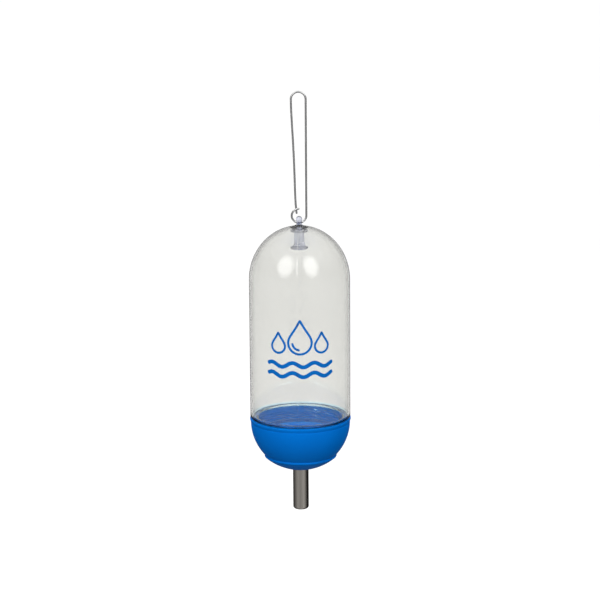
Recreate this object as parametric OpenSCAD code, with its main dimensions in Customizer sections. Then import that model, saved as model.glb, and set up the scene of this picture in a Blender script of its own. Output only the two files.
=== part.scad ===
// Hanging water bottle for rabbits: a clear domed bottle with a screwed bowl cap,
// a steel drinking tube closed by two balls, and a clasped wire hanger.
// The origin is the underside of the hanger's top bend, where a hook carries it.
// +Z is up, along the bottle's axis. The hanger lies in the XZ plane.

/* [Bottle] */
// Outside diameter of the bottle
bottle_d = 80.6; // [76:0.2:86]
// Height of the dome above the straight wall
dome_h = 43.2; // [40:0.1:48]
// Length of the straight wall
wall_h = 112.8; // [80:0.1:180]
// Wall thickness of the bottle
wall_t = 1.6; // [1.2:0.1:2]
// Radius inside and outside the shoulder corner
shoulder_r = 1.8; // [1:0.1:2.4]

/* [Neck and thread] */
// Inside diameter of the neck
neck_d = 67; // [64:0.2:68]
// Length of the neck below the shoulder
neck_h = 11; // [10:0.1:12]
// Advance of the cap in one turn
thread_pitch = 5; // [4.6:0.1:5.4]
// Height of a thread ridge above its wall
ridge_h = 1.2; // [1:0.05:1.25]
// Turns in each thread ridge
ridge_turns = 1.25; // [1:0.05:1.3]
// Thickness of the neck gasket
gasket_t = 2; // [1.5:0.1:2.2]

/* [Cap] */
// Outside diameter at the cap's lip
lip_d = 81.2; // [80:0.2:86]
// Height of the flared lip band
lip_h = 3.3; // [3:0.1:4]
// Radius of the bowl's outer sphere
bowl_r = 40; // [39.5:0.1:40.2]
// Depth of the bowl sphere's centre below the lip
bowl_drop = 2.8; // [2.6:0.1:3.2]
// Wall thickness of the bowl
bowl_t = 2.2; // [1.8:0.1:2.4]
// Radius of the base dish's outer sphere
dish_r = 44.2; // [43:0.1:46]
// Depth of the base dish's lowest point below the lip
dish_drop = 43; // [42.6:0.1:44]
// Outside diameter of the base dish
dish_d = 58.4; // [54:0.2:60]

/* [Tube and balls] */
// Outside diameter of the drinking tube
tube_d = 12.7; // [12.2:0.1:13]
// Length of tube below the base dish
tube_out = 33.7; // [25:0.1:50]
// Wall thickness of the tube
tube_t = 0.8; // [0.6:0.1:0.9]
// Diameter of each ball
ball_d = 9.525; // [9.4:0.025:9.8]
// Diameter of the drinking opening
tip_hole_d = 6.8; // [6.4:0.1:7]

/* [Hanger wire] */
// Diameter of the wire
wire_d = 1.6; // [1.2:0.1:1.8]
// Centreline radius of the top bend and of the hook
bend_r = 5.8; // [5.6:0.1:6.4]
// Height from the plug's cross hole to the hang point
hanger_h = 102.9; // [90:0.1:140]
// Lean of the hook across the free leg
hook_lean = 9; // [8.8:0.1:10]

/* [Plug] */
// Diameter of the plug's post
post_d = 4.4; // [4:0.1:4.8]
// Diameter of the plug's rounded head
head_d = 5.1; // [4.8:0.1:5.4]
// Diameter of the cross hole
eye_d = 2.4; // [2.2:0.1:2.5]
// Height of the cross hole above the dome
eye_h = 2.7; // [2.6:0.1:4]
// Diameter of the plug's flange inside the dome
flange_d = 13.7; // [12:0.1:14]
// Diameter of the plug's barrel
barrel_d = 8; // [7:0.1:9]

/* [Hidden] */
$fn = 96;
clear_blue = [0.80, 0.83, 0.92, 0.6];
cap_blue = [0.01, 0.40, 0.78];
steel = [0.62, 0.60, 0.57];

// Heights, all measured from the hang point
eye_z = -hanger_h;
pole_z = eye_z - eye_h;
equator_z = pole_z - dome_h;
lip_gap = 0.3;
shoulder_z = equator_z - wall_h;
lip_z = shoulder_z - lip_gap;

// Bottle radii
out_r = bottle_d / 2;
in_r = out_r - wall_t;
neck_r = neck_d / 2;
neck_out_r = neck_r + wall_t;
neck_z = shoulder_z - neck_h;
collar_r = 3.4;
collar_h = 0.7;
collar_round = 0.4;
hole_r = post_d / 2 + 0.6;
seat_r = flange_d / 2 + 0.4;
seat_z = pole_z - wall_t - 0.5;

// Thread: each ridge is a trapezium, wider at its root
root_sink = 0.5;
root_w = 2.2;
crest_w = 1.2;
run_in = 24;
end_fade = 0.08;
thread_low = neck_z + 1.5;
cap_wall_r = neck_out_r + ridge_h + 0.6;
cap_ridge_h = cap_wall_r - neck_out_r - 0.5;
cap_ridge_drop = 2.1;
cap_ridge_start = 144;
ridge_step = 10;

// Cap: the bowl is one sphere inside, two spheres outside
gasket_z = neck_z;
ledge_z = gasket_z - gasket_t;
ledge_r = 31.5;
ledge_t = 2;
bowl_z = lip_z - bowl_drop;
bowl_in_r = bowl_r - bowl_t;
dish_z = lip_z - dish_drop + dish_r;
ledge_foot_r = ledge_r + 3.4;
gasket_in_r = ledge_r + 0.5;
gasket_out_r = cap_wall_r - 0.4;
boss_r = tube_d / 2 + 3.2;
boss_z = lip_z - 33;
tube_fit = 0.05;
mouth_h = 1;
mouth_flare = 0.8;
edge_r = 0.4;

// Tube: top flare on the washer, balls on the rolled tip
tube_r = tube_d / 2;
washer_t = 1.5;
flare_z = boss_z + washer_t;
flare_r = tube_r + 2;
bend_in = 0.6;
tip_z = lip_z - dish_drop - tube_out;
tip_round = 2.2;
groove_z = boss_z - 4.5;
groove_r = 1.2;
groove_h = 2.4;
snap_z = dish_z - sqrt(pow(dish_r, 2) - pow(tube_r + tube_fit, 2));
snap_h = 1;
snap_in = 0.25;
snap_play = 0.1;
flare_slope = 0.2;
tip_edge = 0.2;
ball_r = ball_d / 2;
seat_gap = 0.03;
ball_z = tip_z + tube_t + sqrt(pow(ball_r + seat_gap, 2) - pow(tip_hole_d / 2, 2));
upper_ball_z = ball_z + ball_d + 0.05;

// Wire: the hook's lowest point lies a little under the cross hole's axis
wire_sag = 0.2;
wire_tip = 0.3;
top_z = wire_d / 2 - bend_r;
ring_z = eye_z - wire_sag + bend_r;
leg_end_z = eye_z + 6.9;

// Free leg: two curves, each given by its ends and two points that it bends towards
leg_sides = 12;
leg_rings = 14;
leg_wire_r = wire_d / 2 - 0.01;
leg_mid_z = (top_z + leg_end_z) / 2 - 12;
leg_curves = [
    [[-bend_r, top_z], [-bend_r, top_z - 12], [-4.3, top_z - 28], [-3.4, leg_mid_z]],
    [[-3.4, leg_mid_z], [-2.9, leg_mid_z - 22], [-2.7, leg_end_z + 7], [-1.8, leg_end_z]]
];

// Plug: heights of the parts inside the dome
seal_t = 1.2;
flange_t = 1.8;
barrel_h = 7.8;
foot_h = 5.8;
foot_d = 14;
base_r = 2.75;
head_h = 5.2;
seal_in_r = base_r + 0.05;
seal_out_r = flange_d / 2 - 0.95;
foot_z = seat_z - seal_t - flange_t - barrel_h;
foot_rim_h = 1.6;

// Points along an elliptical arc, from angle a0 to a1 in n steps
function arc(cr, cz, rr, rz, a0, a1, n) =
    [for (i = [0:n]) let (a = a0 + (a1 - a0) * i / n) [cr + rr * cos(a), cz + rz * sin(a)]];

// Point at t along one of the free leg's curves
function leg_point(c, t) = let (p = leg_curves[c], u = 1 - t)
    u * u * u * p[0] + 3 * u * u * t * p[1] + 3 * u * t * t * p[2] + t * t * t * p[3];

// Drop of a sphere of radius R at the distance r from its axis
function depth(R, r) = sqrt(R * R - r * r);

// Angle on an ellipse of half width R at the distance r
function lean(R, r) = acos(r / R);

// Helical ridge on a wall of radius r, standing out by h (in if h is negative)
module ridge(r, h, z_low, start) {
    steps = ceil(ridge_turns * 360 / ridge_step);
    sink = h > 0 ? -root_sink : root_sink;
    function fade(i) = min(1, end_fade + min(i, steps - i) * ridge_step / run_in);
    function ring(i) = let (
        a = start + i * ridge_step,
        z = z_low + thread_pitch * i * ridge_step / 360,
        top = r + h * fade(i),
        w = root_w / 2,
        c = crest_w / 2
    ) [for (p = [[r + sink, -w], [top, -c], [top, c], [r + sink, w]])
        [p[0] * cos(a), p[0] * sin(a), z + p[1]]];
    points = [for (i = [0:steps]) each ring(i)];
    sides = [for (i = [0:steps - 1]) for (k = [0:3]) let (m = (k + 1) % 4)
        each [[4 * i + k, 4 * i + m, 4 * i + 4 + k], [4 * i + m, 4 * i + 4 + m, 4 * i + 4 + k]]];
    ends = [[3, 2, 1, 0], [4 * steps, 4 * steps + 1, 4 * steps + 2, 4 * steps + 3]];
    faces = concat(sides, ends);
    polyhedron(points, h > 0 ? faces : [for (f = faces) [for (k = [len(f) - 1:-1:0]) f[k]]]);
}

// Arc of wire in the XZ plane, centred on the origin, from angle a0 onwards
module wire_arc(a0, angle) {
    rotate([90, 0, 0]) rotate([0, 0, a0]) rotate_extrude(angle = angle)
        translate([bend_r, 0]) circle(d = wire_d);
}

// Wire swept along the free leg's curve, in flat-sided rings
module free_leg() {
    points = concat(
        [for (i = [0:leg_rings]) leg_point(0, i / leg_rings)],
        [for (i = [1:leg_rings]) leg_point(1, i / leg_rings)]
    );
    last = len(points) - 1;
    function along(i) = i == 0 ? [0, -1] : points[min(i + 1, last)] - points[i - 1];
    function ring(i) = let (t = along(i) / norm(along(i))) [for (k = [0:leg_sides - 1])
        let (a = 360 * (k + 0.5) / leg_sides, u = leg_wire_r * cos(a))
        [points[i][0] - t[1] * u, leg_wire_r * sin(a), points[i][1] + t[0] * u]];
    walls = [for (i = [0:last - 1]) for (k = [0:leg_sides - 1])
        let (m = (k + 1) % leg_sides, lower = (i + 1) * leg_sides, upper = i * leg_sides)
        each [[upper + k, upper + m, lower + k], [upper + m, lower + m, lower + k]]];
    caps = [
        [for (k = [leg_sides - 1:-1:0]) k],
        [for (k = [0:leg_sides - 1]) last * leg_sides + k]
    ];
    polyhedron([for (i = [0:last]) each ring(i)], concat(walls, caps));
}

// One wire: top bend, straight leg on the right running into the hook, free leg on the left
module wire_hanger() {
    color(steel) union() {
        translate([0, 0, top_z]) wire_arc(0, 180);
        translate([bend_r, 0, ring_z]) cylinder(d = wire_d, h = top_z - ring_z);
        translate([0, 0, ring_z]) wire_arc(-90, 90);
        translate([0, 0, ring_z - bend_r]) rotate([hook_lean, 0, 0]) translate([0, 0, bend_r]) {
            wire_arc(90, 180);
            translate([0, 0, bend_r]) rotate([0, 90, 0])
                cylinder(d1 = wire_d, d2 = wire_d * 0.6, h = wire_tip);
        }
        free_leg();
    }
}

// Clear bottle: dome with a collared hole, straight wall, flat shoulder and threaded neck
module bottle_shell() {
    dome_rim = lean(out_r, collar_r);
    seat_rim = lean(in_r, seat_r);
    inner_h = dome_h - wall_t;
    collar_z = pole_z + collar_h;
    profile = concat(
        [[hole_r, collar_z]],
        arc(collar_r - collar_round, collar_z - collar_round, collar_round, collar_round, 90, 0, 4),
        arc(0, equator_z, out_r, dome_h, dome_rim, 0, 30),
        arc(out_r - shoulder_r, shoulder_z + shoulder_r, shoulder_r, shoulder_r, 0, -90, 6),
        [[neck_out_r, shoulder_z], [neck_out_r, neck_z + edge_r], [neck_out_r - edge_r, neck_z]],
        [[neck_r + edge_r, neck_z], [neck_r, neck_z + edge_r]],
        arc(neck_r + shoulder_r, shoulder_z + wall_t - shoulder_r, shoulder_r, shoulder_r, 180, 90, 6),
        arc(in_r - shoulder_r, shoulder_z + wall_t + shoulder_r, shoulder_r, shoulder_r, -90, 0, 6),
        arc(0, equator_z, in_r, inner_h, 0, seat_rim, 30),
        [[seat_r, seat_z], [hole_r, seat_z]]
    );
    color([0.86, 0.86, 0.84, 0.35]) union() {
        rotate_extrude() polygon(profile);
        ridge(neck_out_r, ridge_h, thread_low, 0);
    }
}

// Soft clear plug: drilled head and post above the dome, flange, barrel and foot inside it
module hanger_plug() {
    head_r = head_d / 2;
    head_z = eye_z + head_h - head_r;
    waist = asin(post_d / head_d);
    flange_z = seat_z - seal_t;
    foot_r = foot_d / 2;
    foot_low = foot_z - foot_h;
    profile = concat(
        arc(0, head_z, head_r, head_r, 90, waist - 90, 12),
        [[post_d / 2, pole_z + collar_h + collar_round], [base_r, pole_z + collar_h], [base_r, flange_z]],
        [[flange_d / 2 - edge_r, flange_z], [flange_d / 2, flange_z - edge_r]],
        [[flange_d / 2, flange_z - flange_t + edge_r], [flange_d / 2 - edge_r, flange_z - flange_t]],
        [[barrel_d / 2, flange_z - flange_t], [barrel_d / 2, foot_z]],
        arc(foot_r, foot_z, foot_r - barrel_d / 2, foot_h - foot_rim_h, 180, 270, 8),
        [[foot_r, foot_low + foot_rim_h / 2], [foot_r - foot_rim_h / 2, foot_low], [0, foot_low]]
    );
    color(clear_blue) difference() {
        rotate_extrude() polygon(profile);
        translate([0, 0, eye_z]) rotate([0, 90, 0]) cylinder(d = eye_d, h = 4 * head_r, center = true);
    }
}

// Washer between the dome and the plug's flange
module plug_seal() {
    color(clear_blue) translate([0, 0, seat_z - seal_t]) rotate_extrude()
        translate([seal_in_r, 0]) square([seal_out_r - seal_in_r, seal_t]);
}

// Flat ring between the neck's end and the cap's ledge
module neck_gasket() {
    color(clear_blue) translate([0, 0, ledge_z]) rotate_extrude()
        translate([gasket_in_r, 0]) square([gasket_out_r - gasket_in_r, gasket_t]);
}

// Blue bowl cap: lip, thread, gasket ledge, bowl, base dish, and the tube's boss with its snap lip
module screw_cap() {
    bowl_top = asin((lip_z - lip_h - bowl_z) / bowl_r);
    step_a = -lean(bowl_r, dish_d / 2);
    dish_edge = dish_d / 2 - edge_r;
    hole = tube_r + tube_fit;
    lip_in = hole - snap_in + snap_play;
    floor_a = -lean(bowl_in_r, boss_r);
    under_a = -lean(bowl_in_r, ledge_foot_r);
    profile = concat(
        [[lip_d / 2 - edge_r, lip_z], [lip_d / 2, lip_z - edge_r]],
        arc(0, bowl_z, bowl_r, bowl_r, bowl_top, step_a, 20),
        [[dish_d / 2, dish_z - depth(dish_r, dish_edge) + edge_r]],
        arc(0, dish_z, dish_r, dish_r, -lean(dish_r, dish_edge), -lean(dish_r, hole), 16),
        [[lip_in, snap_z], [lip_in, snap_z + snap_h - snap_play], [hole, snap_z + snap_h]],
        [[hole, boss_z], [boss_r, boss_z]],
        arc(0, bowl_z, bowl_in_r, bowl_in_r, floor_a, under_a, 20),
        [[ledge_r, ledge_z - ledge_t], [ledge_r, ledge_z], [cap_wall_r, ledge_z]],
        [[cap_wall_r, lip_z - mouth_h], [cap_wall_r + mouth_flare, lip_z]]
    );
    color(cap_blue) union() {
        rotate_extrude() polygon(profile);
        ridge(cap_wall_r, -cap_ridge_h, thread_low - cap_ridge_drop + thread_pitch * cap_ridge_start / 360,
              cap_ridge_start);
    }
}

// Steel tube: flared top, groove that keeps the balls in, groove for the cap's snap lip, rolled tip
module drinking_tube() {
    bore_r = tube_r - tube_t;
    groove_a = 2 * atan(groove_r / (groove_h / 2));
    swell = groove_h / 2 / sin(groove_a);
    snap_top = snap_z + snap_h + snap_play;
    profile = concat(
        arc(tube_r - tip_round, tip_z + tip_round, tip_round, tip_round, -90, 0, 8),
        [[tube_r, snap_z - 3 * snap_play], [tube_r - snap_in, snap_z - 2 * snap_play]],
        [[tube_r - snap_in, snap_top], [tube_r, snap_top + snap_in]],
        arc(tube_r + swell - groove_r, groove_z, swell, swell, 180 + groove_a, 180 - groove_a, 8),
        [[tube_r, flare_z - flare_slope], [flare_r, flare_z], [flare_r, flare_z + tube_t]],
        [[bore_r + bend_in, flare_z + tube_t], [bore_r, flare_z - bend_in]],
        arc(bore_r + swell - groove_r, groove_z, swell, swell, 180 - groove_a, 180 + groove_a, 8),
        arc(tube_r - tip_round, tip_z + tip_round, tip_round - tube_t, tip_round - tube_t, 0, -90, 8),
        [[tip_hole_d / 2, tip_z + tube_t], [tip_hole_d / 2, tip_z + tip_edge]],
        [[tip_hole_d / 2 + tip_edge, tip_z]]
    );
    color(steel) rotate_extrude() polygon(profile);
}

// Rubber washer under the tube's flare
module tube_washer() {
    color("dimgray") translate([0, 0, boss_z]) rotate_extrude()
        translate([tube_r + tube_fit, 0]) square([boss_r - tube_r - tube_fit, washer_t - 0.2]);
}

// Ball resting on the tube's tip
module valve_ball() {
    color("silver") translate([0, 0, ball_z]) sphere(d = ball_d);
}

// Second ball, resting on the first
module upper_ball() {
    color("silver") translate([0, 0, upper_ball_z]) sphere(d = ball_d);
}

wire_hanger();
bottle_shell();
hanger_plug();
plug_seal();
neck_gasket();
screw_cap();
drinking_tube();
tube_washer();
valve_ball();
upper_ball();
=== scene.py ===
"""Looks of a hanging rabbit water bottle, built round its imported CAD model.

Sizes are in millimetres and become metres when a piece is made. +Z is up along
the bottle's axis, and the origin is the underside of the hanger's top bend.
Angles are in degrees. The front of the bottle faces -Y, which is angle 270.
"""

import math

import bmesh
import bpy
from mathutils import Euler, Matrix, Vector


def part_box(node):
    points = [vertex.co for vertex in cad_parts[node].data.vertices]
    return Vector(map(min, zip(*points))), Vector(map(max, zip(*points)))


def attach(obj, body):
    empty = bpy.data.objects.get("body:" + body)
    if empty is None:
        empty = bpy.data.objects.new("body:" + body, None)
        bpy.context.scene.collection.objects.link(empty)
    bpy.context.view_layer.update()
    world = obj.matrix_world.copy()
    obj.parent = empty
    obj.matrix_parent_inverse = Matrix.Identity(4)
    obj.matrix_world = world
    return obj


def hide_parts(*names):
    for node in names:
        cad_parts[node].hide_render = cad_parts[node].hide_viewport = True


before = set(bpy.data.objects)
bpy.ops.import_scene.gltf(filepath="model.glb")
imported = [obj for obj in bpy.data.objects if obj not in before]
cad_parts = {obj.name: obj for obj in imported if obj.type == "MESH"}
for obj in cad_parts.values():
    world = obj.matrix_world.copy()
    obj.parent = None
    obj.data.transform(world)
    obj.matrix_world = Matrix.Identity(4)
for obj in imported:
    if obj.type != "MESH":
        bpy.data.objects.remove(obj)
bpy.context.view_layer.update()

MM = 0.001
SHARP = 32
AXIS_CLOSE = 1e-6


def corners(node):
    """Lowest and highest corner of a CAD node, in millimetres."""
    low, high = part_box(node)
    return low / MM, high / MM


# ---------------------------------------------------------------- sizes

# Bottle
bottle_low, bottle_high = corners("bottle_shell")
OUT_R = bottle_high.x
WALL_T = 1.6
IN_R = OUT_R - WALL_T
COLLAR_H = 0.7
COLLAR_R = 3.4
HOLE_R = 2.8
COLLAR_Z = bottle_high.z
POLE_Z = COLLAR_Z - COLLAR_H
DOME_H = 43.2
EQUATOR_Z = POLE_Z - DOME_H
NECK_Z = bottle_low.z
SHOULDER_Z = NECK_Z + 11
SHOULDER_R = 1.8
NECK_R = 33.5
NECK_OUT_R = NECK_R + WALL_T
SEAT_R = 7.25
SEAT_Z = POLE_Z - WALL_T - 0.5

# Thread
PITCH = 5
RIDGE_TURNS = 1.25
RIDGE_ROOT = 1.9
RIDGE_CREST = 1.2
RIDGE_RUN_IN = 24
NECK_RIDGE_H = 1.2
CAP_RIDGE_H = 1.3
THREAD_LOW = NECK_Z + 1.5
CAP_THREAD_START = 144
CAP_THREAD_LOW = THREAD_LOW - 2.1 + PITCH * CAP_THREAD_START / 360

# Cap
cap_high = corners("screw_cap")[1]
LIP_R = cap_high.x
LIP_Z = cap_high.z
LIP_H = 3.3
BOWL_R = 40
BOWL_IN_R = BOWL_R - 2.2
BOWL_Z = LIP_Z - 2.8
DISH_SPHERE_R = 44.2
DISH_Z = LIP_Z - 43 + DISH_SPHERE_R
DISH_R = 29.2
CAP_WALL_R = NECK_OUT_R + 1.8
GASKET_T = 2
LEDGE_Z = NECK_Z - GASKET_T
LEDGE_R = 31.5
LEDGE_T = 2
LEDGE_FOOT_R = LEDGE_R + 3.4

# Tube
tube_low, tube_high = corners("drinking_tube")
TUBE_R = 6.35
TUBE_T = 0.8
TUBE_FIT = 0.05
TIP_Z = tube_low.z
TIP_ROUND = 2.2
TIP_HOLE_R = 3.4
FLARE_R = tube_high.x
FLARE_Z = tube_high.z - TUBE_T
BOSS_Z = corners("tube_washer")[0].z
BOSS_R = TUBE_R + 3.2
GROOVE_Z = BOSS_Z - 4.5
GROOVE_IN = 1.2
GROOVE_H = 2.4
SNAP_Z = DISH_Z - math.sqrt(DISH_SPHERE_R**2 - (TUBE_R + TUBE_FIT) ** 2)
SNAP_H = 1
SNAP_IN = 0.25
SNAP_PLAY = 0.1

# Hanger wire
wire_high = corners("wire_hanger")[1]
BEND_R = 5.8
WIRE_R = 0.8
TOP_Z = wire_high.z - WIRE_R - BEND_R
EYE_Z = POLE_Z + 2.7
RING_Z = EYE_Z - 0.2 + BEND_R
HOOK_LEAN = 9
LEG_END_Z = EYE_Z + 6.9
LEG_MID_Z = (TOP_Z + LEG_END_Z) / 2 - 12

# Plug
plug_low, plug_high = corners("hanger_plug")
HEAD_R = 2.55
POST_R = 2.2
EYE_R = 1.2
BASE_R = 2.75
FOOT_R = plug_high.x
FOOT_LOW = plug_low.z
FOOT_H = 5.8
BARREL_R = 4
FLANGE_R = 6.85
FLANGE_T = 1.8
SEAL_T = 1.2

# Seam that the halves of the mould leave down the bottle
SEAM_FRONT = 267
SEAM_BACK = SEAM_FRONT - 180
SEAM_HEIGHT = 0.25
SEAM_HALF = 0.6


# ---------------------------------------------------------------- shapes


def arc(centre_r, centre_z, radius_r, radius_z, start, end, steps):
    """Points of an elliptical arc in the (r, z) plane."""
    turns = [math.radians(start + (end - start) * i / steps) for i in range(steps + 1)]
    return [(centre_r + radius_r * math.cos(a), centre_z + radius_z * math.sin(a)) for a in turns]


def span(start, end, steps):
    """Points of a straight line in the (r, z) plane, without its two ends."""
    return [tuple(Vector(start).lerp(Vector(end), i / steps)) for i in range(1, steps)]


def on_sphere(radius, distance):
    """Angle below the horizontal at which a sphere is that far from its axis."""
    return -math.degrees(math.acos(distance / radius))


def outline(points, steps=4):
    """(r, z) points of an outline, where a third number rounds that corner off over that length."""
    smooth = []
    for i, point in enumerate(points):
        here = Vector(point[:2])
        if len(point) == 2:
            smooth.append(here)
            continue
        before = (Vector(points[i - 1][:2]) - here).normalized() * point[2]
        after = (Vector(points[(i + 1) % len(points)][:2]) - here).normalized() * point[2]
        for k in range(steps + 1):
            t = k / steps
            smooth.append(here + before * (1 - t) ** 2 + after * t**2)
    return smooth


def even_angles(count):
    """Angles spread evenly round the axis."""
    return [360 * i / count for i in range(count)]


def seam_angles(count):
    """Even angles, with closer ones where the seam's ridge stands."""
    angles = set(even_angles(count))
    for middle in (SEAM_FRONT, SEAM_BACK):
        angles = {a for a in angles if abs(a - middle) > 2 * SEAM_HALF}
        angles |= {middle + SEAM_HALF * k / 2 for k in range(-4, 5)}
    return sorted(angles)


def lathe(points, angles, bulge=None, closed=True):
    """Mesh of an outline turned about Z. bulge(r, z, angle) says how far a point moves outwards."""
    bm = bmesh.new()
    rows = []
    for r, z in points:
        row = []
        for angle in angles:
            out = r + (bulge(r, z, angle) if bulge else 0)
            a = math.radians(angle)
            row.append(bm.verts.new((out * math.cos(a), out * math.sin(a), z)))
        rows.append(row)
    last = len(rows) if closed else len(rows) - 1
    for i in range(last):
        upper, lower = rows[i], rows[(i + 1) % len(rows)]
        for k in range(len(angles)):
            m = (k + 1) % len(angles)
            bm.faces.new((upper[k], upper[m], lower[m], lower[k]))
    bmesh.ops.remove_doubles(bm, verts=bm.verts, dist=AXIS_CLOSE)
    return bm


def sweep(path, radius, sides=20):
    """Mesh of a round bar along the path. radius(share) gives its radius from end to end."""
    bm = bmesh.new()
    rings = []
    normal = Vector((0, 1, 0))
    lengths = [0]
    for a, b in zip(path, path[1:]):
        lengths.append(lengths[-1] + (b - a).length)
    for i, point in enumerate(path):
        along = (path[min(i + 1, len(path) - 1)] - path[max(i - 1, 0)]).normalized()
        normal = (normal - along * normal.dot(along)).normalized()
        side = along.cross(normal)
        r = radius(lengths[i], lengths[-1])
        turns = [2 * math.pi * k / sides for k in range(sides)]
        rings.append([bm.verts.new(point + (normal * math.cos(t) + side * math.sin(t)) * r) for t in turns])
    for a, b in zip(rings, rings[1:]):
        for k in range(sides):
            m = (k + 1) % sides
            bm.faces.new((a[k], a[m], b[m], b[k]))
    bm.faces.new(rings[0])
    bm.faces.new(rings[-1])
    return bm


def piece(bm, name, material, body, slot, *nodes):
    """Turns a mesh in millimetres into a piece that rides on a body and stands for CAD nodes."""
    bmesh.ops.recalc_face_normals(bm, faces=bm.faces)
    bmesh.ops.scale(bm, vec=(MM, MM, MM), verts=bm.verts)
    mesh = bpy.data.meshes.new(name)
    bm.to_mesh(mesh)
    bm.free()
    mesh.shade_smooth()
    mesh.set_sharp_from_angle(angle=math.radians(SHARP))
    mesh.materials.append(material)
    made = bpy.data.objects.new(name, mesh)
    bpy.context.scene.collection.objects.link(made)
    weighted = made.modifiers.new("normals", "WEIGHTED_NORMAL")
    weighted.keep_sharp = True
    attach(made, body)
    if nodes:
        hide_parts(*nodes)
    return made


# ---------------------------------------------------------------- materials

# Painted light: a blue cast painted on the neck that stands in for the cap's blue showing through it, and a
# painted glow on the cap's lining that stands in for the light reaching it through the clear shell
NECK_PAINTED_CAP_BLUE = (0.5, 0.8, 0.93, 1)
LINING_PAINTED_GLOW = 0.26


def give(tree, socket, value):
    """Links an output to a socket, or sets the socket to a number or a colour."""
    if isinstance(value, bpy.types.NodeSocket):
        tree.links.new(value, socket)
    else:
        socket.default_value = value


def calculate(tree, operation, first, second):
    """Output of one sum on two outputs or numbers."""
    node = tree.nodes.new("ShaderNodeMath")
    node.operation = operation
    give(tree, node.inputs[0], first)
    give(tree, node.inputs[1], second)
    return node.outputs[0]


def between(tree, output, low, high):
    """Share that goes from 0 at low to 1 at high."""
    node = tree.nodes.new("ShaderNodeMapRange")
    node.inputs["From Min"].default_value = low
    node.inputs["From Max"].default_value = high
    tree.links.new(output, node.inputs["Value"])
    return node.outputs["Result"]


def colour_ramp(tree, fac, stops):
    """Colour ramp through (position, colour or grey) stops."""
    node = tree.nodes.new("ShaderNodeValToRGB")
    elements = node.color_ramp.elements
    while len(elements) < len(stops):
        elements.new(0.5)
    for element, (position, colour) in zip(elements, stops):
        element.position = position
        element.color = (*colour, 1) if hasattr(colour, "__len__") else (colour, colour, colour, 1)
    tree.links.new(fac, node.inputs["Fac"])
    return node.outputs["Color"]


class Material:
    """A Principled material, with short calls for the nodes that feed it."""

    def __init__(self, name, **values):
        self.made = bpy.data.materials.new(name)
        self.made.use_nodes = True
        self.tree = self.made.node_tree
        self.shader = self.tree.nodes["Principled BSDF"]
        self.place = self.tree.nodes.new("ShaderNodeTexCoord").outputs["Object"]
        for socket, value in values.items():
            self.shader.inputs[socket.replace("_", " ")].default_value = value

    def feed(self, socket, output):
        """Links an output to one of the shader's sockets."""
        self.tree.links.new(output, self.shader.inputs[socket])

    def stretched(self, scale):
        """Object coordinates scaled by (x, y, z)."""
        mapping = self.tree.nodes.new("ShaderNodeMapping")
        mapping.inputs["Scale"].default_value = scale
        self.tree.links.new(self.place, mapping.inputs["Vector"])
        return mapping.outputs["Vector"]

    def noise(self, scale, detail=3, stretch=(1, 1, 1), roughness=0.5):
        """Noise of that many cells a metre."""
        node = self.tree.nodes.new("ShaderNodeTexNoise")
        node.inputs["Scale"].default_value = scale
        node.inputs["Detail"].default_value = detail
        node.inputs["Roughness"].default_value = roughness
        self.tree.links.new(self.stretched(stretch), node.inputs["Vector"])
        return node.outputs["Fac"]

    def ramp(self, fac, *stops):
        """Colour ramp through (position, colour or grey) stops."""
        return colour_ramp(self.tree, fac, stops)

    def mix(self, fac, first, second, blend="MIX"):
        """Mix of two colours."""
        node = self.tree.nodes.new("ShaderNodeMix")
        node.data_type = "RGBA"
        node.blend_type = blend
        for name, value in (("Factor", fac), ("A", first), ("B", second)):
            give(self.tree, node.inputs[name], value)
        return node.outputs["Result"]

    def from_point(self, point):
        """Distance from a point, in metres."""
        node = self.tree.nodes.new("ShaderNodeVectorMath")
        node.operation = "DISTANCE"
        node.inputs[1].default_value = point
        self.tree.links.new(self.place, node.inputs[0])
        return node.outputs["Value"]

    def split(self, vector, axis):
        """One coordinate of a vector."""
        node = self.tree.nodes.new("ShaderNodeSeparateXYZ")
        self.tree.links.new(vector, node.inputs["Vector"])
        return node.outputs[axis]

    def between(self, output, low, high):
        """Share that goes from 0 at low to 1 at high."""
        return between(self.tree, output, low, high)

    def calculate(self, operation, first, second):
        """Output of one sum on two outputs or numbers."""
        return calculate(self.tree, operation, first, second)

    def bump(self, height, strength, distance):
        """Bump from a height, where distance is the height in metres."""
        node = self.tree.nodes.new("ShaderNodeBump")
        node.inputs["Strength"].default_value = strength
        node.inputs["Distance"].default_value = distance
        self.tree.links.new(height, node.inputs["Height"])
        self.feed("Normal", node.outputs["Normal"])

    def edge(self):
        """How far the surface turns away from the viewer, used for painted shade on the rims of clear plastic
        that stands in for the dark surroundings they reflect.
        """
        node = self.tree.nodes.new("ShaderNodeLayerWeight")
        return node.outputs["Facing"]


def clear_plastic():
    """Blow-moulded clear plastic: faint waves and fine scuffs, with painted shade that greys the rims and a
    painted blue cast on the neck.
    """
    m = Material("clear_plastic", IOR=1.5, Transmission_Weight=1.0)
    # painted shade: the rims grey out with the viewing angle, standing in for the dark surroundings they
    # reflect
    tint_and_rim_shade = m.ramp(
        m.edge(),
        (0.0, (0.845, 0.845, 0.825)),
        (0.55, (0.835, 0.835, 0.815)),
        (0.75, (0.75, 0.75, 0.735)),
        (0.88, (0.5, 0.5, 0.49)),
        (1.0, (0.15, 0.15, 0.145)),
    )
    height = m.split(m.place, "Z")
    # painted light: below the shoulder the colour turns to a painted blue cast that stands in for the cap's
    # blue seen through the neck
    low, high = (SHOULDER_Z + 1) * MM, (SHOULDER_Z + 3) * MM
    m.feed("Base Color", m.mix(m.between(height, low, high), NECK_PAINTED_CAP_BLUE, tint_and_rim_shade))
    m.feed("Roughness", m.ramp(m.noise(180, 4), (0.35, 0.03), (0.8, 0.07)))
    m.bump(m.noise(22, 2, (1, 1, 0.4)), 0.25, 0.0006)
    return m.made


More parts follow.
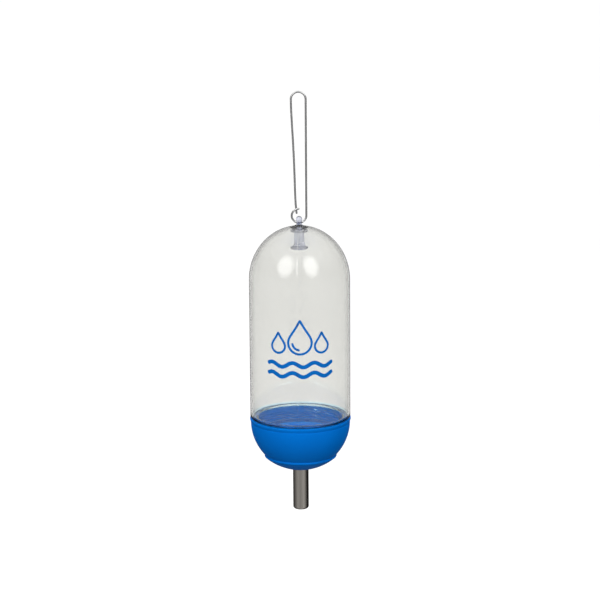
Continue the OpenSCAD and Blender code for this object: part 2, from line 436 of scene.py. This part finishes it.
def clear_vinyl():
    """Soft clear vinyl with a cool blue-grey colour, darker streaks and a slightly dull skin, and painted
    shade that darkens its rims with the viewing angle.
    """
    m = Material("clear_vinyl", IOR=1.38, Transmission_Weight=1.0)
    # painted shade: the vinyl's own cool colour darkens towards the rims with the viewing angle, standing in
    # for dark reflections
    tint_and_rim_shade = m.ramp(m.edge(), (0.0, (0.74, 0.76, 0.86)), (0.5, (0.64, 0.66, 0.77)), (1.0, (0.42, 0.43, 0.54)))
    streaks = m.ramp(m.noise(420, 2, (1, 1, 0.25)), (0.35, 0.66), (0.6, 1.0))
    m.feed("Base Color", m.mix(1.0, tint_and_rim_shade, streaks, "MULTIPLY"))
    m.feed("Roughness", m.ramp(m.noise(900, 3), (0.3, 0.08), (0.8, 0.2)))
    m.bump(m.noise(700, 3), 0.3, 0.0002)
    return m.made


def blue_plastic():
    """Moulded blue plastic: slight colour drift and fine grain, with painted light on the lining: a lighter
    blue and a faint glow that stand in for the light reaching it through the clear shell.
    """
    m = Material("blue_plastic", IOR=1.5, Specular_IOR_Level=0.03)
    drift = m.noise(35, 3)
    outside = m.ramp(drift, (0.3, (0.0, 0.17, 0.67)), (0.7, (0.0, 0.19, 0.73)))
    # painted light: a lighter, lit copy of the blue for the cap's lining
    inside = m.ramp(drift, (0.3, (0.0, 0.3, 0.8)), (0.7, (0.0, 0.33, 0.86)))
    away = m.from_point((0, 0, BOWL_Z * MM))
    lining = m.between(away, (BOWL_IN_R + 0.9) * MM, (BOWL_IN_R + 0.4) * MM)
    m.feed("Base Color", m.mix(lining, outside, inside))
    # painted light: the lining glows faintly though it is no lamp, standing in for light that reaches it
    # through the clear shell
    m.feed("Emission Color", inside)
    m.feed("Emission Strength", m.calculate("MULTIPLY", lining, LINING_PAINTED_GLOW))
    m.feed("Roughness", m.ramp(m.noise(260, 5), (0.3, 0.4), (0.75, 0.52)))
    m.bump(m.noise(2400, 2), 0.15, 0.00008)
    return m.made


def tube_steel():
    """Drawn stainless tube: streaks along its length, a few fine scratches."""
    m = Material("tube_steel", Metallic=1.0)
    streaks = m.noise(1600, 4, (1, 1, 0.02))
    m.feed("Base Color", m.ramp(streaks, (0.3, (0.5, 0.465, 0.42)), (0.7, (0.6, 0.565, 0.52))))
    m.feed("Roughness", m.ramp(streaks, (0.3, 0.16), (0.7, 0.28)))
    m.bump(streaks, 0.2, 0.00005)
    return m.made


def hanger_wire():
    """Bright drawn wire, with draw marks along the legs."""
    m = Material("hanger_wire", Metallic=1.0)
    marks = m.noise(2600, 3, (1, 1, 0.04))
    m.feed("Base Color", m.ramp(marks, (0.3, 0.46), (0.7, 0.6)))
    m.feed("Roughness", m.ramp(m.noise(500, 3), (0.3, 0.2), (0.7, 0.34)))
    m.bump(marks, 0.2, 0.00004)
    return m.made


def ball_steel():
    """Polished bearing ball with faint wear."""
    m = Material("ball_steel", Metallic=1.0)
    m.feed("Base Color", m.ramp(m.noise(400, 3), (0.3, 0.68), (0.7, 0.76)))
    m.feed("Roughness", m.ramp(m.noise(1200, 4), (0.35, 0.05), (0.75, 0.14)))
    m.bump(m.noise(3000, 3), 0.05, 0.00003)
    return m.made


def seal_rubber():
    """Matte dark rubber with a fine grain."""
    m = Material("seal_rubber", Specular_IOR_Level=0.35)
    m.feed("Base Color", m.ramp(m.noise(600, 4), (0.3, (0.018, 0.018, 0.02)), (0.7, (0.035, 0.035, 0.037))))
    m.feed("Roughness", m.ramp(m.noise(900, 3), (0.3, 0.62), (0.7, 0.8)))
    m.bump(m.noise(3500, 4), 0.4, 0.0001)
    return m.made


def blue_ink():
    """Screen-printed ink, with the slight grain that the mesh leaves."""
    m = Material("blue_ink", Specular_IOR_Level=0.1)
    m.feed("Base Color", m.ramp(m.noise(1500, 3), (0.3, (0.0, 0.13, 0.5)), (0.7, (0.0, 0.16, 0.58))))
    m.feed("Roughness", m.ramp(m.noise(1200, 3), (0.3, 0.4), (0.7, 0.55)))
    m.bump(m.noise(5000, 2), 0.3, 0.00003)
    return m.made


# ---------------------------------------------------------------- pieces


def thread(angle, z, start, low, height):
    """Height of a thread ridge above its wall, at an angle and a height."""
    tallest = 0
    turn = (angle - start) % 360 / 360
    while turn <= RIDGE_TURNS:
        off = abs(z - low - PITCH * turn)
        share = min(1, max(0, (RIDGE_ROOT - 2 * off) / (RIDGE_ROOT - RIDGE_CREST)))
        left = 360 * min(turn, RIDGE_TURNS - turn)
        tallest = max(tallest, height * share * min(1, 0.08 + left / RIDGE_RUN_IN))
        turn += 1
    return tallest


def make_shell(material):
    """Clear bottle with its dome, shoulder, threaded neck and seam."""
    rows = 44
    neck_top = SHOULDER_Z - 0.6
    neck_low = NECK_Z + 0.4

    def bulge(r, z, angle):
        if neck_low <= z <= neck_top and abs(r - NECK_OUT_R) < 0.01:
            return thread(angle, z, 0, THREAD_LOW, NECK_RIDGE_H)
        dome_share = math.hypot(r / IN_R, (z - EQUATOR_Z) / (DOME_H - WALL_T))
        outside = r > IN_R + 0.1 or z > EQUATOR_Z and dome_share > 1.01
        if outside and z > SHOULDER_Z + 0.1 and r > COLLAR_R + 1:
            away = min(abs(angle - SEAM_FRONT), abs(angle - SEAM_BACK)) / SEAM_HALF
            return SEAM_HEIGHT * math.exp(-(away**2)) * min(1, (r - COLLAR_R - 1) / 6)
        return 0

    dome_rim = math.degrees(math.acos(COLLAR_R / OUT_R))
    seat_rim = math.degrees(math.acos(SEAT_R / IN_R))
    top = SHOULDER_Z + WALL_T
    points = outline(
        [
            (HOLE_R, COLLAR_Z, 0.15),
            (COLLAR_R, COLLAR_Z, 0.35),
            *arc(0, EQUATOR_Z, OUT_R, DOME_H, dome_rim, 0, 72),
            *span((OUT_R, EQUATOR_Z), (OUT_R, SHOULDER_Z + SHOULDER_R), 12),
            *arc(OUT_R - SHOULDER_R, SHOULDER_Z + SHOULDER_R, SHOULDER_R, SHOULDER_R, 0, -90, 10),
            (NECK_OUT_R, SHOULDER_Z, 0.5),
            (NECK_OUT_R, neck_top),
            *span((NECK_OUT_R, neck_top), (NECK_OUT_R, neck_low), rows),
            (NECK_OUT_R, neck_low),
            (NECK_OUT_R, NECK_Z, 0.3),
            (NECK_R, NECK_Z, 0.3),
            *arc(NECK_R + SHOULDER_R, top - SHOULDER_R, SHOULDER_R, SHOULDER_R, 180, 90, 10),
            *arc(IN_R - SHOULDER_R, top + SHOULDER_R, SHOULDER_R, SHOULDER_R, -90, 0, 10),
            *span((IN_R, top + SHOULDER_R), (IN_R, EQUATOR_Z), 12),
            *arc(0, EQUATOR_Z, IN_R, DOME_H - WALL_T, 0, seat_rim, 72),
            (SEAT_R, SEAT_Z, 0.2),
            (HOLE_R, SEAT_Z),
        ]
    )
    turned = lathe(points, seam_angles(180), bulge)
    return piece(turned, "clear_shell", material, "bottle", "clear_plastic", "bottle_shell")


def make_plug(material):
    """Soft clear plug: drilled head and post above the dome, flange, barrel and bell foot inside."""
    head_z = plug_high.z - HEAD_R
    waist = math.degrees(math.asin(POST_R / HEAD_R))
    flange_z = SEAT_Z - SEAL_T
    foot_z = FOOT_LOW + FOOT_H
    points = outline(
        [
            *arc(0, head_z, HEAD_R, HEAD_R, 90, waist - 90, 16),
            (POST_R, COLLAR_Z + 0.4, 0.3),
            (BASE_R, COLLAR_Z + 0.02, 0.15),
            (BASE_R, flange_z, 0.1),
            (FLANGE_R, flange_z, 0.4),
            (FLANGE_R, flange_z - FLANGE_T, 0.4),
            (BARREL_R, flange_z - FLANGE_T, 0.3),
            *arc(FOOT_R, foot_z, FOOT_R - BARREL_R, FOOT_H - 1.6, 180, 270, 10),
            (FOOT_R, FOOT_LOW + 0.8, 0.3),
            (FOOT_R - 0.8, FOOT_LOW, 0.3),
            (0, FOOT_LOW),
        ]
    )
    turned = lathe(points, even_angles(72), closed=False)
    made = piece(turned, "hang_plug", material, "bottle", "clear_vinyl", "hanger_plug")
    drill(made, EYE_R, EYE_Z)
    return made


def drill(target, radius, z):
    """Bores a round hole through a piece, along X at height z."""
    bm = bmesh.new()
    turn = Matrix.Translation((0, 0, z * MM)) @ Matrix.Rotation(math.radians(90), 4, "Y")
    bmesh.ops.create_cone(
        bm, cap_ends=True, segments=48, radius1=radius * MM, radius2=radius * MM, depth=0.02, matrix=turn
    )
    mesh = bpy.data.meshes.new("drill")
    bm.to_mesh(mesh)
    bm.free()
    cutter = bpy.data.objects.new("drill", mesh)
    bpy.context.scene.collection.objects.link(cutter)
    cut = target.modifiers.new("eye", "BOOLEAN")
    cut.object = cutter
    cut.solver = "EXACT"
    target.modifiers.move(len(target.modifiers) - 1, 0)
    target.modifiers["normals"].show_viewport = False
    evaluated = target.evaluated_get(bpy.context.evaluated_depsgraph_get())
    bored = bpy.data.meshes.new_from_object(evaluated)
    target.modifiers.remove(cut)
    target.modifiers["normals"].show_viewport = True
    target.data = bored
    bored.set_sharp_from_angle(angle=math.radians(SHARP))
    bpy.data.objects.remove(cutter)


def make_cap(material):
    """Blue bowl cap: flared lip band, thread, gasket ledge, stepped base dish and the tube's boss."""
    mouth_z = LIP_Z - 1
    band_z = LIP_Z - LIP_H
    bowl_top = math.degrees(math.asin((band_z - 0.35 - BOWL_Z) / BOWL_R))
    ledge_in = DISH_R - 0.3
    step = on_sphere(BOWL_R, ledge_in)
    step_z = BOWL_Z + BOWL_R * math.sin(math.radians(step))
    rim_z = DISH_Z - math.sqrt(DISH_SPHERE_R**2 - (DISH_R - 0.4) ** 2)
    hole = TUBE_R + TUBE_FIT
    lip_in = hole - SNAP_IN + SNAP_PLAY
    floor = on_sphere(BOWL_IN_R, BOSS_R)
    under = on_sphere(BOWL_IN_R, LEDGE_FOOT_R)
    low = LEDGE_Z + 0.4
    rows = 48

    def bulge(r, z, angle):
        if low <= z <= mouth_z and abs(r - CAP_WALL_R) < 0.01:
            return -thread(angle, z, CAP_THREAD_START, CAP_THREAD_LOW, CAP_RIDGE_H)
        return 0

    points = outline(
        [
            (LIP_R, LIP_Z, 0.3),
            (LIP_R, LIP_Z - 1.1, 0.4),
            (BOWL_R - 0.2, band_z, 0.12),
            (BOWL_R, band_z - 0.2, 0.12),
            *arc(0, BOWL_Z, BOWL_R, BOWL_R, bowl_top, step, 40),
            (DISH_R, step_z - 0.8, 0.3),
            (DISH_R, rim_z + 0.4, 0.5),
            *arc(0, DISH_Z, DISH_SPHERE_R, DISH_SPHERE_R, on_sphere(DISH_SPHERE_R, DISH_R - 0.4),
                 on_sphere(DISH_SPHERE_R, hole), 24),
            (lip_in, SNAP_Z),
            (lip_in, SNAP_Z + SNAP_H - SNAP_PLAY),
            (hole, SNAP_Z + SNAP_H),
            (hole, BOSS_Z, 0.1),
            (BOSS_R, BOSS_Z, 0.3),
            *arc(0, BOWL_Z, BOWL_IN_R, BOWL_IN_R, floor, under, 32),
            (LEDGE_R, LEDGE_Z - LEDGE_T, 0.4),
            (LEDGE_R, LEDGE_Z, 0.3),
            (CAP_WALL_R, LEDGE_Z, 0.2),
            (CAP_WALL_R, low),
            *span((CAP_WALL_R, low), (CAP_WALL_R, mouth_z), rows),
            (CAP_WALL_R, mouth_z),
            (CAP_WALL_R + 0.8, LIP_Z, 0.2),
        ]
    )
    turned = lathe(points, even_angles(180), bulge)
    return piece(turned, "bowl_cap", material, "cap", "blue_plastic", "screw_cap")


def make_tube(material):
    """Steel tube: flared top, groove that stops the balls, snap groove and rolled drinking tip."""
    bore = TUBE_R - TUBE_T
    half = 2 * math.degrees(math.atan(GROOVE_IN / (GROOVE_H / 2)))
    swell = GROOVE_H / 2 / math.sin(math.radians(half))
    middle = TIP_Z + TIP_ROUND
    snap_top = SNAP_Z + SNAP_H + SNAP_PLAY
    points = outline(
        [
            *arc(TUBE_R - TIP_ROUND, middle, TIP_ROUND, TIP_ROUND, -90, 0, 14),
            (TUBE_R, SNAP_Z - 3 * SNAP_PLAY, 0.05),
            (TUBE_R - SNAP_IN, SNAP_Z - 2 * SNAP_PLAY, 0.05),
            (TUBE_R - SNAP_IN, snap_top),
            (TUBE_R, snap_top + SNAP_IN),
            *arc(TUBE_R + swell - GROOVE_IN, GROOVE_Z, swell, swell, 180 + half, 180 - half, 12),
            (TUBE_R, FLARE_Z - 0.2, 0.15),
            (FLARE_R, FLARE_Z, 0.3),
            (FLARE_R, FLARE_Z + TUBE_T, 0.3),
            (bore + 0.6, FLARE_Z + TUBE_T, 0.3),
            (bore, FLARE_Z - 0.6, 0.3),
            *arc(bore + swell - GROOVE_IN, GROOVE_Z, swell, swell, 180 - half, 180 + half, 12),
            *arc(TUBE_R - TIP_ROUND, middle, TIP_ROUND - TUBE_T, TIP_ROUND - TUBE_T, 0, -90, 14),
            (TIP_HOLE_R, TIP_Z + TUBE_T, 0.25),
            (TIP_HOLE_R, TIP_Z, 0.25),
        ]
    )
    return piece(lathe(points, even_angles(96)), "steel_tube", material, "cap", "tube_steel", "drinking_tube")


def make_ring(name, node, inner, round_off, material, body, slot):
    """Flat ring with rounded edges in the space of a CAD ring."""
    low, high = corners(node)
    points = outline(
        [
            (inner, high.z, round_off),
            (high.x, high.z, round_off),
            (high.x, low.z, round_off),
            (inner, low.z, round_off),
        ]
    )
    return piece(lathe(points, even_angles(120)), name, material, body, slot, node)


def hanger_path():
    """The wire's centreline, from the hook's tip round the plug and the top bend to the free end."""
    lean = Euler((math.radians(HOOK_LEAN), 0, 0))
    bottom = Vector((0, 0, RING_Z - BEND_R))

    def ring(angle, centre_z):
        a = math.radians(angle)
        return Vector((BEND_R * math.cos(a), 0, centre_z + BEND_R * math.sin(a)))

    def leaned(point):
        point.rotate(lean)
        return bottom + point

    def bezier(p, t):
        u = 1 - t
        weights = (u**3, 3 * u * u * t, 3 * u * t * t, t**3)
        return sum((Vector((x, 0, z)) * w for (x, z), w in zip(p, weights)), Vector())

    path = [leaned(Vector((0.3 * k / 2, 0, 2 * BEND_R))) for k in (2, 1)]
    path += [leaned(ring(90 + 6 * k, BEND_R)) for k in range(31)]
    path += [ring(-90 + 6 * k, RING_Z) for k in range(1, 16)]
    path += [Vector((BEND_R, 0, RING_Z + (TOP_Z - RING_Z) * k / 24)) for k in range(1, 24)]
    path += [ring(6 * k, TOP_Z) for k in range(31)]
    upper = [(-BEND_R, TOP_Z), (-BEND_R, TOP_Z - 12), (-4.3, TOP_Z - 28), (-3.4, LEG_MID_Z)]
    lower = [(-3.4, LEG_MID_Z), (-2.9, LEG_MID_Z - 22), (-2.7, LEG_END_Z + 7), (-1.8, LEG_END_Z)]
    path += [bezier(curve, k / 20) for curve in (upper, lower) for k in range(1, 21)]
    return path


def make_hanger(material):
    """One wire, bent to a long loop, with cut ends that are slightly rounded."""

    def radius(done, total):
        left = min(done, total - done)
        return WIRE_R * min(1, 0.7 + 0.3 * left / 0.3)

    return piece(sweep(hanger_path(), radius), "hanger", material, "hanger", "hanger_wire", "wire_hanger")


# ---------------------------------------------------------------- print

PRINT_Z = -198
PRINT_LIFT = 0.02
PRINT_T = 0.06
LINE_W = 1.8
DROP_TAPER = 0.75
GLINT_R = 6
GLINT_Z = 6.5
WAVE_W = 3.2
WAVE_H = 1.7
WAVE_HALF = 26
WAVE_HEIGHTS = (-11.5, -19.5)


def add_band(bm, left, right):
    """Thin closed slab between two lines of (x, z) points, wrapped round the bottle's front."""

    def wrap(point, radius):
        a = point[0] / OUT_R
        return bm.verts.new((radius * math.sin(a), -radius * math.cos(a), PRINT_Z + point[1]))

    low, high = OUT_R + PRINT_LIFT, OUT_R + PRINT_LIFT + PRINT_T
    rows = [[wrap(p, r) for p, r in ((a, low), (b, low), (b, high), (a, high))] for a, b in zip(left, right)]
    for one, two in zip(rows, rows[1:]):
        for k in range(4):
            m = (k + 1) % 4
            bm.faces.new((one[k], one[m], two[m], two[k]))
    return rows


def round_end(tip, before, across, steps=4):
    """Pairs of points that round off a line at its tip, where across is half the line's width."""
    tip = Vector(tip)
    along = (tip - Vector(before)).normalized() * across.length
    pairs = []
    for k in range(1, steps + 1):
        a = math.radians(90 * k / (steps + 1))
        out = tip + along * math.sin(a)
        pairs.append((out + across * math.cos(a), out - across * math.cos(a)))
    return pairs


def add_line(bm, points, width, closed=False):
    """A printed line of even width through (x, z) points, with rounded ends unless it is closed."""
    count = len(points)
    left, right = [], []
    for i, point in enumerate(points):
        before = points[i - 1] if closed or i else point
        after = points[(i + 1) % count] if closed or i < count - 1 else point
        along = (Vector(after) - Vector(before)).normalized()
        side = Vector((-along.y, along.x)) * width / 2
        left.append(Vector(point) + side)
        right.append(Vector(point) - side)
    if not closed:
        start = round_end(points[0], points[1], (left[0] - right[0]) / 2)
        end = round_end(points[-1], points[-2], (left[-1] - right[-1]) / 2)
        left = [pair[0] for pair in reversed(start)] + left + [pair[0] for pair in end]
        right = [pair[1] for pair in reversed(start)] + right + [pair[1] for pair in end]
    rows = add_band(bm, left, right)
    if closed:
        for k in range(4):
            m = (k + 1) % 4
            bm.faces.new((rows[-1][k], rows[-1][m], rows[0][m], rows[0][k]))
    else:
        bm.faces.new(rows[0])
        bm.faces.new(rows[-1])


def drop(x, z, radius, height, steps=48):
    """Outline of a falling drop: round below, drawn out to a point above."""
    points = []
    for k in range(steps):
        a = 2 * math.pi * k / steps
        pull = max(0, math.cos(a)) ** 3
        side = radius * math.sin(a) * (1 - DROP_TAPER * pull)
        rise = radius * math.cos(a) + (height - radius) * pull
        points.append((x + side, z + rise))
    return points


def make_print(material):
    """Generic mark of water drops over waves, raised by the thickness of the ink."""
    bm = bmesh.new()
    add_line(bm, drop(0, GLINT_Z, 9.3, 17.5), LINE_W, closed=True)
    for side in (-1, 1):
        add_line(bm, drop(17.5 * side, 3.5, 5.6, 10.5), LINE_W, closed=True)
    turns = [math.radians(a) for a in range(190, 261, 10)]
    glint = [(GLINT_R * math.cos(a), GLINT_Z + GLINT_R * math.sin(a)) for a in turns]
    add_line(bm, glint, LINE_W)
    shares = [k / 96 for k in range(97)]
    for z in WAVE_HEIGHTS:
        wave = [(WAVE_HALF * (2 * t - 1), z + WAVE_H * math.sin(6 * math.pi * t + 0.6)) for t in shares]
        add_line(bm, wave, WAVE_W)
    return piece(bm, "front_print", material, "bottle", "blue_ink")


# ---------------------------------------------------------------- scene

# Camera, in metres and degrees
CAMERA_AIM = Vector((0.0003, 0, -0.1657))
CAMERA_DISTANCE = 1.8
CAMERA_ELEVATION = 12
CAMERA_ROLL = -0.4
CAMERA_LENS = 135.4
CAMERA_SENSOR = 36

# Floor, in metres
FLOOR_Z = TIP_Z * MM - 0.25
FLOOR_R = 16
FLOOR_BEND = 3
FLOOR_WALL = 12
FLOOR_GLOW = 0.24

# Softboxes: each is a stack of ellipses, so that it fades towards its rim
DOME_CENTRE = Vector((0, 0, EQUATOR_Z * MM))
SOFTBOX_DISTANCE = 1.3
SOFTBOX_GAP = 0.01
SOFTBOX_STEPS = (1.0, 0.88, 0.76, 0.64)
SOFTBOX_ELEVATION = 32
SOFTBOX_H = 1.15

# Surroundings: (azimuth, radiance) all round, and (height of the direction, share) overhead
WORLD_TOP = 1.2
WORLD_OVERHEAD = ((0.1, 0.0), (0.4, 0.42), (0.85, 1.0))
WORLD_AROUND = (
    (-180, 0.3),
    (-165, 0.22),
    (-155, 0.06),
    (-112, 0.08),
    (-90, 0.17),
    (-65, 0.33),
    (-45, 0.4),
    (0, 0.33),
    (35, 0.47),
    (50, 0.47),
    (75, 0.2),
    (95, 0.012),
    (140, 0.012),
    (155, 0.16),
    (180, 0.3),
)


def make_floor():
    """Wide pale floor, well below the hanging bottle, that curves up to a pale wall far away."""
    bend = arc(FLOOR_R - FLOOR_BEND, FLOOR_BEND, FLOOR_BEND, FLOOR_BEND, -90, 0, 16)
    bm = lathe([(0, 0), *bend, (FLOOR_R, FLOOR_WALL)], even_angles(96), closed=False)
    mesh = bpy.data.meshes.new("floor")
    bm.to_mesh(mesh)
    bm.free()
    mesh.shade_smooth()
    m = Material("floor_white", Roughness=1.0, Specular_IOR_Level=0.0, Emission_Strength=FLOOR_GLOW)
    m.feed("Base Color", m.ramp(m.noise(3, 2), (0.3, 0.86), (0.7, 0.9)))
    m.shader.inputs["Emission Color"].default_value = (1, 1, 0.995, 1)
    mesh.materials.append(m.made)
    made = bpy.data.objects.new("floor", mesh)
    bpy.context.scene.collection.objects.link(made)
    made.location.z = FLOOR_Z
    made.visible_glossy = False
    made.visible_diffuse = False
    made.visible_shadow = False


def direction(azimuth, elevation):
    """Unit vector from the bottle, where azimuth 0 is towards the camera and 90 is to its right."""
    a, e = math.radians(azimuth), math.radians(elevation)
    return Vector((math.sin(a) * math.cos(e), -math.cos(a) * math.cos(e), math.sin(e)))


def make_softbox(name, azimuth, width, radiance):
    """Soft studio light that faces the dome, and fades towards its rim in steps."""
    away = direction(azimuth, SOFTBOX_ELEVATION)
    power = radiance / len(SOFTBOX_STEPS) * math.pi
    for i, share in enumerate(SOFTBOX_STEPS):
        light = bpy.data.lights.new(f"{name}_{i}", "AREA")
        light.shape = "ELLIPSE"
        light.size = width * share
        light.size_y = SOFTBOX_H * share
        light.energy = power * light.size * light.size_y * math.pi / 4
        made = bpy.data.objects.new(light.name, light)
        bpy.context.scene.collection.objects.link(made)
        made.location = DOME_CENTRE + away * (SOFTBOX_DISTANCE + SOFTBOX_GAP * i)
        made.rotation_mode = "QUATERNION"
        made.rotation_quaternion = away.to_track_quat("Z", "Y")


def make_world():
    """Studio surroundings: grey in front and behind, dark towards both sides, bright overhead."""
    world = bpy.data.worlds.new("studio")
    bpy.context.scene.world = world
    world.use_nodes = True
    tree = world.node_tree
    background = tree.nodes["Background"]
    background.inputs["Color"].default_value = (1, 1, 1, 1)
    place = tree.nodes.new("ShaderNodeTexCoord")
    split = tree.nodes.new("ShaderNodeSeparateXYZ")
    tree.links.new(place.outputs["Generated"], split.inputs["Vector"])

    def ramp(output, start, end, stops):
        share = between(tree, output, start, end)
        return colour_ramp(tree, share, [((at - start) / (end - start), grey) for at, grey in stops])

    towards = calculate(tree, "MULTIPLY", split.outputs["Y"], -1)
    azimuth = calculate(tree, "ARCTAN2", split.outputs["X"], towards)
    degrees = calculate(tree, "MULTIPLY", azimuth, 180 / math.pi)
    around = ramp(degrees, -180, 180, WORLD_AROUND)
    overhead = ramp(split.outputs["Z"], -1, 1, WORLD_OVERHEAD)
    raised = calculate(tree, "MULTIPLY", overhead, WORLD_TOP)
    tree.links.new(calculate(tree, "MAXIMUM", around, raised), background.inputs["Strength"])


def make_camera():
    """Camera in front, a little above the bottle, which hangs slightly off upright in its view."""
    data = bpy.data.cameras.new("camera")
    data.sensor_width = CAMERA_SENSOR
    data.lens = CAMERA_LENS
    made = bpy.data.objects.new("camera", data)
    bpy.context.scene.collection.objects.link(made)
    away = direction(0, CAMERA_ELEVATION)
    made.location = CAMERA_AIM + away * CAMERA_DISTANCE
    made.rotation_mode = "QUATERNION"
    roll = Matrix.Rotation(math.radians(CAMERA_ROLL), 3, "Z").to_quaternion()
    made.rotation_quaternion = away.to_track_quat("Z", "Y") @ roll
    bpy.context.scene.camera = made


bpy.context.scene.view_settings.view_transform = "Standard"
make_camera()
make_world()
make_floor()
make_softbox("softbox_left", -37, 1.0, 3.2)
make_softbox("softbox_right", 31, 0.9, 3.5)

steel = ball_steel()
vinyl = clear_vinyl()
rubber = seal_rubber()
make_shell(clear_plastic())
make_plug(vinyl)
make_cap(blue_plastic())
make_tube(tube_steel())
make_hanger(hanger_wire())
make_print(blue_ink())
make_ring("plug_washer", "plug_seal", BASE_R + 0.05, 0.25, vinyl, "bottle", "clear_vinyl")
make_ring("tube_seal", "tube_washer", TUBE_R + TUBE_FIT, 0.25, rubber, "cap", "seal_rubber")
make_ring("flat_gasket", "neck_gasket", LEDGE_R + 0.5, 0.4, vinyl, "neck_seal", "clear_vinyl")
for ball in ("valve_ball", "upper_ball"):
    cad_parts[ball].data.materials.clear()
    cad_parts[ball].data.materials.append(steel)
